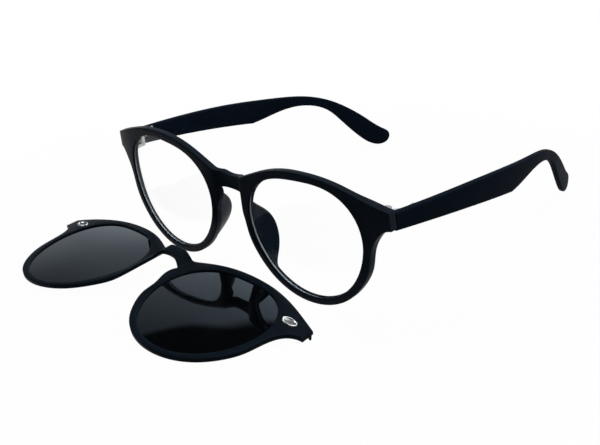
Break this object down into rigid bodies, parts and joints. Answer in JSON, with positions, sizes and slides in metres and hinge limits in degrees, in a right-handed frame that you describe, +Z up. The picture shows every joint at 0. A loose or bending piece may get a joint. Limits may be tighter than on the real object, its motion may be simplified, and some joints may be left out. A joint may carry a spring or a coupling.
{
  "type": "glasses with magnetic clip-on",
  "caption": "Panto glasses with folding temples on barrel hinges, standing open behind a matching tinted clip-on that is held to the front by disc magnets.",
  "frame": {"origin": "middle of the whole set's base on the surface it stands on, at the centre of its box in X and Y", "axes": "+Z up, +Y back along the temples towards the ears, +X to the wearer's left"},
  "size_m": [0.1588, 0.213, 0.0502],
  "materials": {
    "frame_plastic": "moulded matte black with a faint cool tint",
    "clip_plastic": "moulded matte black, slightly smoother",
    "clear_lens": "clear coated lens",
    "tinted_lens": "dark grey polished lens",
    "hinge_steel": "stamped and tumbled steel",
    "magnet_nickel": "nickel plate",
    "cap_chrome": "polished, dished oval cap"
  },
  "bodies": {
    "glasses_front": {"frame_front": "frame_plastic", "left_lens": "clear_lens", "right_lens": "clear_lens", "left_front_hinge": "hinge_steel", "right_front_hinge": "hinge_steel", "left_hinge_screw": "hinge_steel", "right_hinge_screw": "hinge_steel", "left_frame_magnet": "magnet_nickel", "right_frame_magnet": "magnet_nickel"},
    "left_temple_arm": {"left_temple": "frame_plastic", "left_temple_hinge": "hinge_steel"},
    "right_temple_arm": {"right_temple": "frame_plastic", "right_temple_hinge": "hinge_steel"},
    "clip_on": {"clip_frame": "clip_plastic", "left_tinted_lens": "tinted_lens", "right_tinted_lens": "tinted_lens", "left_clip_magnet": "magnet_nickel", "right_clip_magnet": "magnet_nickel", "left_rivet_cap": "cap_chrome", "right_rivet_cap": "cap_chrome"}
  },
  "joints": [
    {"name": "left_temple_fold", "type": "hinge", "parent": "glasses_front", "child": "left_temple_arm", "pos_m": [0.07171, -0.03977, 0.03875], "axis": [0, -0.0939, 0.9956], "range_deg": [0, 86]},
    {"name": "right_temple_fold", "type": "hinge", "parent": "glasses_front", "child": "right_temple_arm", "pos_m": [-0.05549, -0.03977, 0.03875], "axis": [0, 0.0939, -0.9956], "range_deg": [0, 77]},
    {"name": "clip_lift", "type": "slide", "parent": "glasses_front", "child": "clip_on", "axis": [0, 0, 1], "range_m": [0, 0.06]}
  ]
}
